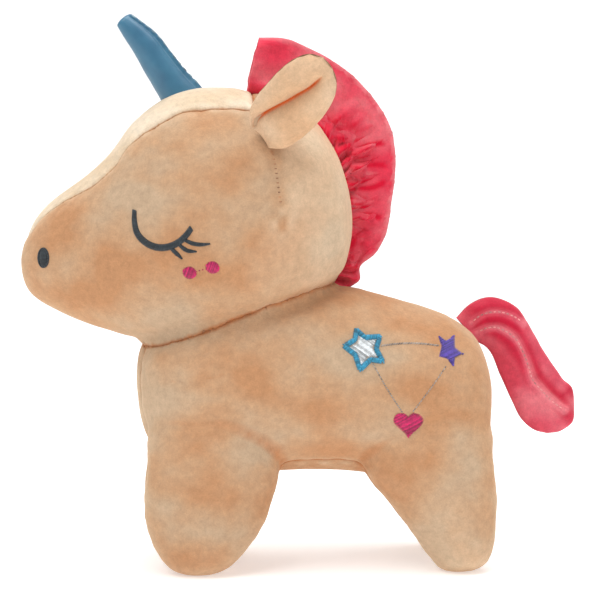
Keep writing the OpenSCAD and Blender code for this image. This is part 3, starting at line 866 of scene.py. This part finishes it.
for side, word in ((-1, "left"), (1, "right")):
    eye = [satin_path(spline(EYE, 60), [2.0, 2.6, 3.1, 3.2, 3.2, 3.0, 2.6], 0.4)]
    eye += [satin_path(spline(lash, 16), [1.5, 2.0, 1.9, 0.8], 0.4) for lash in LASHES]
    stitched("satin_eye_" + word, "eye_" + word, np.concatenate(eye), side, "slate", head_give, lift=0.6)
    rim = round_points(NOSTRIL, 2.2, 1.85)
    nostril = np.concatenate([satin_fill(rim, FINE, 8), satin_path(rim, 0.9, FINE, closed=True)])
    stitched("satin_nostril_" + word, "nostril_" + word, nostril, side, "slate", head_give)
    cheek = [satin_fill(round_points(dot, 2.9), FINE, 70) for dot in CHEEK]
    cheek.append(satin_path(spline(CHEEK, 12), 0.5, 1.2))
    stitched("satin_cheek_" + word, "cheek_" + word, np.concatenate(cheek), side, "magenta", head_give,
             lift=0.55)
    border = satin_path(inset(BIG_STAR, 1.15), 2.4, FINE, closed=True)
    stitched("satin_big_star_border_" + word, "big_star_border_" + word, border, side, "cyan", body_give,
             lift=1.0, radius=0.34)
    centre = satin_fill(inset(BIG_STAR, 2.1), 0.5, -35)
    stitched("satin_big_star_fill_" + word, "big_star_fill_" + word, centre, side, "white", body_give,
             lift=0.3)
    stitched("satin_small_star_" + word, "small_star_" + word, satin_fill(SMALL_STAR, FINE, 20), side,
             "purple", body_give, lift=0.55)
    heart = satin_fill(heart_points(HEART, HEART_R), FINE, 28)
    stitched("satin_heart_" + word, "heart_" + word, heart, side, "magenta", body_give, lift=0.55)
    chain = [satin_path(spline(LINKS[0], 40), 0.9, 1.0, 1.4)]
    chain += [satin_path(spline(line, 40), 0.4, 1.0, 2.2) for line in LINKS[1:]]
    stitched("stitched_links_" + word, "star_links_" + word, np.concatenate(chain), side, "grey",
             body_give, lift=0.3, points=4)
    ladder = spline(DART, 11)
    dashes = np.stack([ladder - [0.6, -0.1], ladder + [0.6, 0.1]], axis=1)
    stitched("stitched_dart_" + word, "dart_stitches_" + word, dashes, side, "brown", head_give,
             lift=0.2, radius=0.22)


# --- Ears --------------------------------------------------------------------------------------

# Front and rear edge of an ear from its base to its tip, in the ear's own plane
EAR_FRONT = [(-10, -3), (-13.6, 3.5), (-14.2, 10), (-13, 18), (-11.4, 26), (-8.3, 34), (-4, 39), (1.5, 40.6)]
EAR_REAR = [(1.5, -7), (7.2, -3.6), (11.2, 4), (14, 15), (14.6, 23), (13.8, 29.5), (11, 35), (6.5, 38.8),
            (1.5, 40.6)]
EAR_UP = np.array([0.43, -0.50, 0.75])
EAR_ROWS, EAR_COLS = 96, 72
# How far in from its edge an ear rounds over, and how far its two faces stand out, in millimetres
EAR_LOBE = 11
EAR_FRONT_SWELL, EAR_BACK_SWELL = 7.4, 3.6


def ear(side, word):
    pivot = np.array(JOINT[word + "_ear_flap"]["pos_m"])
    mirror = np.array([1, -side, 1])
    along = np.array(JOINT["left_ear_flap"]["axis"])
    up = EAR_UP / np.linalg.norm(EAR_UP)
    out = np.cross(along, up)
    front, rear = spline(EAR_FRONT, EAR_ROWS), spline(EAR_REAR, EAR_ROWS)
    # Columns crowd towards the edges, where the cloth turns over
    s = 0.5 - 0.5 * np.cos(math.pi * np.linspace(0, 1, EAR_COLS))[None, :]
    t = np.linspace(0, 1, EAR_ROWS)[:, None]
    flat = front[:, None] * (1 - s[..., None]) + rear[:, None] * s[..., None]
    xy = flat.reshape(-1, 2)
    base = np.linspace(EAR_FRONT[0], EAR_REAR[0], 80)
    outline = np.concatenate([spline(EAR_FRONT, 200), spline(EAR_REAR, 200), base])
    edge = distance_to(in_space(xy), in_space(outline)).reshape(EAR_ROWS, EAR_COLS)
    lobe = np.sqrt(1 - (1 - np.clip(edge / EAR_LOBE, 0, 1)) ** 2)
    hem = 0.35 * np.exp(-(((edge - 2.4) / 0.5) ** 2)) * smoothstep(0.55, 0.8, s)
    width = np.linalg.norm(rear - front, axis=1)[:, None]
    off = (s - 0.13 - 0.66 * t) * width
    crease = smoothstep(0.88, 0.66, t) * np.clip(edge / 2, 0, 1)
    pleat = crease * (3.2 * np.exp(-np.abs(off) / 1.0) + 3.4 * np.exp(-((off / 5) ** 2)))
    cup = 3.0 * (np.abs(s - 0.5) * 2) ** 2 * (1 - t) ** 1.5 - 0.8 * t
    depth = {"front": EAR_FRONT_SWELL * lobe - hem - pleat, "back": -EAR_BACK_SWELL * lobe}
    unevenness = lumps(np.c_[xy, np.zeros(len(xy))], 9, 61) * 0.22
    grain = (unevenness * np.clip(edge.ravel() / 4, 0, 1)).reshape(edge.shape)
    for layer, height in depth.items():
        faces = grid_faces(EAR_ROWS, EAR_COLS)
        if (layer == "front") == (side < 0):
            faces = faces[:, ::-1]
        levels = []
        for h in (cup + height + grain, cup + np.where(layer == "front", -0.05, 0.05) * lobe):
            q = flat[..., :1] * along + flat[..., 1:] * up + h[..., None] * out
            levels.append((q * MM * mirror + pivot).reshape(-1, 3))
        polys = np.concatenate([faces, faces[:, ::-1] + len(xy)])
        cloth = EAR_CLOTH if layer == "front" else PEACH
        obj = new_object(f"cloth_ear_{word}_{layer}", np.concatenate(levels), polys, cloth)
        # Painted shade: the crease of the front face takes the ear cloth's orange fold-shade colour
        valley = (crease * np.exp(-((off / 0.9) ** 2))).ravel()
        write_folds(obj, np.maximum(0.6 - 0.6 * valley, 0) if layer == "front" else 0.6)
        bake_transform(obj)
        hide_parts(f"ear_{word}_{layer}")


ear(-1, "left")
ear(1, "right")


# --- Horn --------------------------------------------------------------------------------------

HORN_FRONT = [(-60.4, 203.5), (-62.6, 208.2), (-65.6, 214), (-69.6, 220.6), (-75.3, 230.3), (-81.2, 241)]
HORN_REAR = [(-42.5, 210.5), (-45.6, 214.9), (-51, 220.6), (-58, 229), (-63.4, 236), (-68, 240.2),
             (-75.6, 245.6)]


def horn_rings(grow=0.0, count=70, sides=64, fin=1.5):
    front, rear = spline(HORN_FRONT, count), spline(HORN_REAR, count)
    rear = rear - fin * 0.6 * (rear - front) / np.linalg.norm(rear - front, axis=1)[:, None]
    centre = (front + rear) / 2
    across = rear - front
    r = np.linalg.norm(across, axis=1) / 2
    across /= 2 * r[:, None]
    a = np.linspace(0, 2 * math.pi, sides, endpoint=False)
    a = a - 0.35 * np.sin(a)
    turn = np.minimum(a, 2 * math.pi - a)
    seam = fin * np.exp(-((turn / 0.13) ** 2)) - 0.35 * np.exp(-(((turn - 0.3) / 0.14) ** 2))
    reach = (r + grow)[:, None] + seam
    rings = np.stack([centre[:, :1] + reach * np.cos(a) * across[:, :1],
                      0.9 * (r + grow)[:, None] * np.sin(a),
                      centre[:, 1:] + reach * np.cos(a) * across[:, 1:]], axis=-1)
    # A blunt, rounded tip
    lead = (centre[-1] - centre[-2]) / np.linalg.norm(centre[-1] - centre[-2])
    middle = rings[-1].mean(axis=0)
    caps = [middle + (rings[-1] - middle) * math.sqrt(1 - u * u) + np.array([lead[0], 0, lead[1]]) * 1.6 * u
            for u in (0.3, 0.55, 0.78, 0.93, 0.99)]
    return np.concatenate([rings, np.array(caps)]) * MM


def horn():
    rings = horn_rings()
    shape = rings.shape
    flat = rings.reshape(-1, 3)
    dent = (0.16 * lumps(flat, 0.022, 21) + 0.05 * lumps(flat, 0.007, 22)) * MM
    middle = rings.mean(axis=1, keepdims=True)
    out = rings - middle
    out /= np.maximum(np.linalg.norm(out, axis=2, keepdims=True), 1e-9)
    rings = rings + out * dent.reshape(shape[:2])[..., None]
    v, f = closed_tube(rings)
    cover = new_object("leather_horn_cover", v, f, LEATHER)
    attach(cover, "horn")
    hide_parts("horn_cover")
    v, f = closed_tube(horn_rings(-1.6, 24, 32, 0)[1:-2])
    fill = new_object("fibre_horn_filling", v, f, FIBRE)
    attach(fill, "horn")
    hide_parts("horn_filling")
    # Dashes down both sides of the back seam's fin
    rear = spline(HORN_REAR, 200)
    pitch, dash = 3.6, 2.3
    lines = []
    for start in np.arange(6.5, distance_along(rear)[-1] - 2, pitch):
        c = points_at(rear, np.linspace(start, start + dash, 5))
        d = np.gradient(c, axis=0)
        d /= np.linalg.norm(d, axis=1)[:, None]
        c = c + 0.35 * np.stack([d[:, 1], -d[:, 0]], axis=1)
        for side in (-1, 1):
            lines.append(np.stack([c[:, 0], np.full(5, side * 1.05), c[:, 1]], axis=1) * MM)
    p = np.array(lines)
    n = np.zeros_like(p)
    n[..., 1] = np.sign(p[..., 1])
    stitches = sewn("stitched_horn_seam", p, n, 0.28 * MM, "blue")
    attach(stitches, "horn")
    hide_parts("horn_stitching")


horn()


# --- Mane --------------------------------------------------------------------------------------

MANE_BASE = [(-24, 211.5), (-13, 209.5), (-2, 204.8), (7, 198), (13.5, 190), (17.3, 181.5), (19, 171.5),
             (18.6, 160), (16, 149.5), (11.5, 139.5), (8, 131), (7, 126)]
MANE_EDGE = [(-18.8, 236.2), (-8.3, 235.8), (5.3, 231), (19.7, 222.6), (31.8, 210.6), (40, 197.6),
             (42.7, 184.3), (42.3, 171.5), (40.3, 160), (38.4, 147.5), (33.4, 139.5), (26.5, 133.5),
             (26.5, 128), (22, 124.5)]
# The folded strip of fleece as it was cut: its length, and half its width
MANE_STRIP = (0.190, 0.026)
# How many frames its cloth settles for, the pressure inside it, and its number of gathers
MANE_FRAMES, MANE_PRESSURE, MANE_GATHERS = 22, 5.0, 15
# Lines in the side view along which the mane is drawn in
MANE_CREASES = [
    [(9.5, 201.5), (12.5, 199), (16.7, 195.3), (21, 193.5)],
    [(17, 188.5), (20, 189.4), (27.9, 190.8), (36.5, 192.4)],
    [(20, 183.6), (27, 182.4), (33, 182.6), (40.2, 182.3)],
    [(22, 176), (26, 172.6), (32, 172.4), (37, 174.5)],
    [(19.5, 167.5), (24, 168.6), (28.5, 167.2)], [(18.5, 162), (22.5, 161.2), (27.9, 160.7), (38.6, 158)],
    [(15.5, 153.5), (20.5, 154.5), (24, 151), (22.6, 145), (23.6, 138), (28.5, 133.5)],
    [(13.5, 147.5), (17.5, 147.6), (20.3, 145.5)], [(12.4, 143.6), (16.5, 143.4), (19.5, 141.2)],
    [(11, 139.4), (15, 138.6), (19.3, 136.4)], [(9.6, 135.2), (14.5, 134.6), (21, 132.2), (26.5, 132.6)],
    [(8.4, 130.6), (13, 129.4), (18.5, 128)]]


def mane():
    rows, cols, finer = 126, 14, 3
    base, edge = spline(MANE_BASE, rows), spline(MANE_EDGE, rows)
    base = base + 0.05 * (np.array([-40, 165]) - base)
    s = np.linspace(0, 1, rows)[:, None]
    t = np.linspace(0, 1, cols)[None, :]
    rng = np.random.default_rng(31)
    gaps = rng.uniform(0.6, 1.4, MANE_GATHERS) * np.linspace(1.7, 0.7, MANE_GATHERS)
    knots = np.concatenate([[0], np.cumsum(gaps)]) / gaps.sum()
    phase = np.interp(s[:, 0], knots, np.arange(MANE_GATHERS + 1))[:, None]
    strength = 0.3 + 0.7 * smoothstep(0.05, 0.5, s)
    q = base[:, None] * (1 - t[..., None]) + edge[:, None] * t[..., None]
    layers = []
    for side in (-1, 1):
        ripple = np.sin(2 * math.pi * phase + 1.1 * side) * (1 - t) ** 0.7 * 2.6 * strength
        puff = 5.0 * np.minimum(1, t / 0.2) ** 0.7 * np.sqrt(np.clip(1 - t**3, 0, 1)) + 1.2 * (1 - t)
        layers.append(np.stack([q[..., 0], side * puff + ripple, q[..., 1]], axis=-1) * MM)
    left, right = layers
    right[:, -1] = left[:, -1]
    around = np.concatenate([left, right[:, -2::-1]], axis=1)
    wide = 2 * cols - 1
    p = around.reshape(-1, 3)
    faces = grid_faces(rows, wide)
    cut_x = np.broadcast_to(s * MANE_STRIP[0], (rows, wide))
    cut_z = np.broadcast_to(np.linspace(0, 2 * MANE_STRIP[1], wide)[None], (rows, wide))
    flat = np.stack([cut_x, 0 * cut_x, cut_z], axis=-1).reshape(-1, 3)
    pin = np.zeros((rows, wide))
    pin[:, cols - 1] = 0.95
    pin[0] = pin[-1] = 1
    pin[:, [0, -1]] = 1
    p = settle(p, faces, pin.ravel(), MANE_FRAMES, MANE_PRESSURE, flat, bend=5.0, limit=6 * MM)
    # A finer grid through the settled one
    around = p.reshape(rows, wide, 3)
    rows, cols, wide = finer * rows, finer * (cols - 1) + 1, finer * (wide - 1) + 1
    around = np.stack([spline(line, rows) for line in around.swapaxes(0, 1)])
    around = np.stack([spline(line, wide) for line in around.swapaxes(0, 1)])
    p = around.reshape(-1, 3)
    faces = grid_faces(rows, wide)
    t = np.linspace(0, 1, cols)[None, :]
    across = np.concatenate([t[0], t[0, -2::-1]])[None].repeat(rows, axis=0).ravel()
    half = np.where(np.arange(wide) < cols, -1, 1)[None].repeat(rows, axis=0).ravel()
    side_view = p * [1, 0, 1] + np.outer(half > 0, [0, 0, 0.003])
    to_crease = np.min([near_line(side_view, [(x, 0, z) for x, z in line]) for line in MANE_CREASES], axis=0)
    depth = 2.8 * np.exp(-to_crease / (1.0 * MM)) + 3.6 * np.exp(-((to_crease / (3.6 * MM)) ** 2)) - 2.3
    depth *= smoothstep(1.0, 0.78, across) * smoothstep(0, 0.12, across)
    p[:, 1] = half * np.maximum(half * p[:, 1] - depth * MM, 0.2 * MM * (across < 1))
    around = p.reshape(rows, wide, 3)
    # Painted shade in the folds and along the drawn-in creases, painted sheen along the rounded outer edge
    fold = folds_of(p, split_quads(faces), 10, 0.6 * MM) - 0.5 * np.exp(-((to_crease / (1.6 * MM)) ** 2))
    fold = np.clip(np.maximum(fold, smoothstep(0.8, 1.0, across)), 0, 1).reshape(rows, wide)
    n = normals_of(p, split_quads(faces)).reshape(rows, wide, 3)
    for side, word, sheet, normal, fold_shade in (
            (-1, "left", around[:, :cols], n[:, :cols], fold[:, :cols]),
            (1, "right", around[:, :cols - 2:-1], n[:, :cols - 2:-1], fold[:, :cols - 2:-1])):
        outward = np.sign((normal[..., 1] * side).sum())
        thin = 0.9 * MM * np.clip((1 - t) * 6, 0.12, 1)[..., None]
        inner = sheet - outward * normal * thin
        quads = grid_faces(rows, cols)
        if side > 0:
            quads = quads[:, ::-1]
        count = rows * cols
        rim = np.concatenate([np.arange(cols), np.arange(1, rows) * cols + cols - 1,
                              (rows - 1) * cols + np.arange(cols - 2, -1, -1),
                              np.arange(rows - 2, 0, -1) * cols])
        walls = np.stack([rim, np.roll(rim, -1), np.roll(rim, -1) + count, rim + count], 1)
        if side > 0:
            walls = walls[:, ::-1]
        polys = np.concatenate([quads[:, ::-1], quads + count, walls])
        obj = new_object("fleece_mane_" + word, np.concatenate([sheet.reshape(-1, 3), inner.reshape(-1, 3)]),
                         polys, MANE_CLOTH)
        write_folds(obj, fold_shade.ravel())
        head_give(obj)
        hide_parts(f"mane_{word}_layer")


mane()


# --- Tail --------------------------------------------------------------------------------------

TAIL_INNER = [(80, 99.5), (83.5, 97.5), (91, 83.4), (96.2, 72.2), (100.8, 63.7), (106.5, 59), (112.5, 57.4)]
TAIL_OUTER = [(70.3, 110.5), (77.1, 117), (85.3, 119.8), (92.6, 118.2), (98.6, 114.4), (103.2, 107.6),
              (110.7, 94.7), (116.7, 86), (119.6, 82), (123.4, 78.6), (124.6, 71), (123.9, 62.5), (119, 58.6),
              (112.5, 57.4)]
TAIL_LINES = [
    [(77.1, 108.6), (80.3, 111.4), (85.3, 113.2), (90.8, 113.1), (95.9, 111.3), (100.6, 108.4)],
    [(79.9, 104.2), (83.8, 106), (87.7, 106.4), (92.3, 104.6), (96.9, 101.1), (99.7, 96.3), (102.5, 89.7),
     (105.3, 81.8), (109.5, 77.1), (113.4, 73), (119.6, 68.4)]]
# How many frames its cloth settles for, and the pressure inside it
TAIL_FRAMES, TAIL_PRESSURE = 14, 3.0


def tail_give(obj):
    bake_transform(obj)


def tail_height(xz, edge, quilt):
    """Half thickness of the quilted tail at points of its side view, in millimetres."""
    full = 5.6 * np.sqrt(1 - (1 - np.clip(edge / 8.5, 0, 1)) ** 2)
    full = full * (1 - 0.26 * np.exp(-((quilt / 2.2) ** 2)))
    away = (xz - np.array([75.5, 103.5])) @ np.array([0.72, 0.69])
    return full * (0.5 + 0.5 * smoothstep(0, 12, away))


def tail():
    rows, cols = 130, 44
    inner, outer = spline(TAIL_INNER, rows), spline(TAIL_OUTER, rows)
    u = 0.5 - 0.5 * np.cos(np.linspace(0, math.pi, cols))
    xz = (inner[:, None] * (1 - u)[None, :, None] + outer[:, None] * u[None, :, None]).reshape(-1, 2)
    outline = in_space(np.concatenate([spline(TAIL_INNER, 300), spline(TAIL_OUTER, 400)]))
    rows_of_stitches = in_space(np.concatenate([spline(line, 160) for line in TAIL_LINES]))
    edge = distance_to(in_space(xz), outline)
    quilt = distance_to(in_space(xz), rows_of_stitches)
    h = tail_height(xz, edge, quilt)
    flat = in_space(xz) * MM
    faces = grid_faces(rows, cols)
    rim = edge < 0.01
    for side, word in ((-1, "left"), (1, "right")):
        outer_face = flat + np.outer(side * h, [0, 1, 0]) * MM
        skin = faces if side < 0 else faces[:, ::-1]
        pin = np.where((quilt < 0.9) | rim | (np.arange(len(xz)) < cols), 1.0, 0.0)
        cut_cloth = outer_face + (outer_face - outer_face.mean(axis=0)) * 0.07
        outer_face = settle(outer_face, skin, pin, TAIL_FRAMES, TAIL_PRESSURE, cut_cloth,
                            bend=0.8, limit=2.2 * MM)
        normal = normals_of(outer_face, split_quads(skin))
        normal *= np.sign((normal[:, 1] * side).sum())
        back = outer_face - normal * (1.0 * MM * np.clip(edge / 1.5, 0, 1))[:, None]
        obj = new_object("fleece_tail_" + word, np.concatenate([outer_face, back]),
                         np.concatenate([skin, skin[:, ::-1] + len(flat)]), TAIL_CLOTH)
        # Painted shade in the quilted folds and painted sheen on the puffed ridges
        write_folds(obj, folds_of(outer_face, split_quads(skin), 12, 0.3 * MM))
        tail_give(obj)
        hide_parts("tail_panel_" + word)
    core = np.concatenate([flat + np.outer(s * np.maximum(h - 1.4, 0.05), [0, 1, 0]) * MM for s in (-1, 1)])
    fill = new_object("fibre_tail_filling", core, np.concatenate([faces, faces[:, ::-1] + len(flat)]), FIBRE)
    tail_give(fill)
    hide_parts("tail_filling")
    # Topstitching sunk into both faces
    pitch, dash = 2.0, 1.3
    lines, normals = [], []
    for line in TAIL_LINES:
        pts = spline(line, 400)
        for start in np.arange(1.0, distance_along(pts)[-1] - 1.5, pitch):
            c = points_at(pts, np.linspace(start, start + dash, 5))
            k = tail_height(c, distance_to(in_space(c), outline), np.zeros(5)) + 0.12
            for side in (-1, 1):
                lines.append((in_space(c) + np.outer(side * k, [0, 1, 0])) * MM)
                normals.append(np.tile([0.0, side, 0.0], (5, 1)))
    stitches = sewn("stitched_tail_rows", np.array(lines), np.array(normals), 0.27 * MM, "pink")
    tail_give(stitches)
    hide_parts("tail_topstitching")


tail()


# --- Studio ------------------------------------------------------------------------------------

AIM = Vector((-0.0005, 0, 0.1189))
AZIMUTH, ELEVATION, DISTANCE = -4.0, 4.5, 0.95
FIELD = 0.270
# The paper sweep behind the object: depth of its floor, and how far it curves up
SWEEP = [(-3.0, 0.0), (-0.5, 0.0), (0.8, 0.0), (1.1, 0.02), (1.4, 0.09), (1.65, 0.22), (1.85, 0.42),
         (1.97, 0.68), (2.0, 1.0), (2.0, 2.6)]


def studio():
    scene = bpy.context.scene
    paper = Nodes("sweep_paper")
    tone = paper.ramp(paper.noise(6), [(0.4, grey(0.84)), (0.6, grey(0.86))])
    paper.set(Roughness=0.95, Emission_Color=grey(1), Emission_Strength=0.42)
    profile = spline(SWEEP, 60)
    profile[:, 1] = np.maximum(profile[:, 1], 0)
    points = np.array([[x, y, z] for y, z in profile for x in (-3.0, 3.0)])
    sweep = new_object("sweep", points, grid_faces(len(profile), 2), paper.finish(tone))
    world = bpy.data.worlds.new("studio")
    scene.world = world
    world.use_nodes = True
    world.node_tree.nodes["Background"].inputs["Color"].default_value = grey(1)
    world.node_tree.nodes["Background"].inputs["Strength"].default_value = 0.38
    for name, place, size, power in (("key", (-0.6, -0.75, 1.5), 1.0, 12), ("top", (0.2, 0.1, 1.4), 1.2, 14),
                                     ("fill", (1.0, -1.0, 0.5), 1.0, 2)):
        light = bpy.data.lights.new(name, "AREA")
        light.size = size
        light.energy = power
        obj = bpy.data.objects.new(name, light)
        scene.collection.objects.link(obj)
        obj.location = place
        obj.rotation_euler = (Vector((0, 0, 0.12)) - Vector(place)).to_track_quat("-Z", "Y").to_euler()
    camera = bpy.data.cameras.new("camera")
    camera.sensor_width = 36
    camera.lens = 36 * DISTANCE / FIELD
    obj = bpy.data.objects.new("camera", camera)
    scene.collection.objects.link(obj)
    a, e = math.radians(AZIMUTH), math.radians(ELEVATION)
    back = Vector((math.sin(a) * math.cos(e), -math.cos(a) * math.cos(e), math.sin(e)))
    obj.location = AIM + back * DISTANCE
    obj.rotation_euler = (-back).to_track_quat("-Z", "Y").to_euler()
    scene.camera = obj
    scene.view_settings.view_transform = "Standard"


studio()
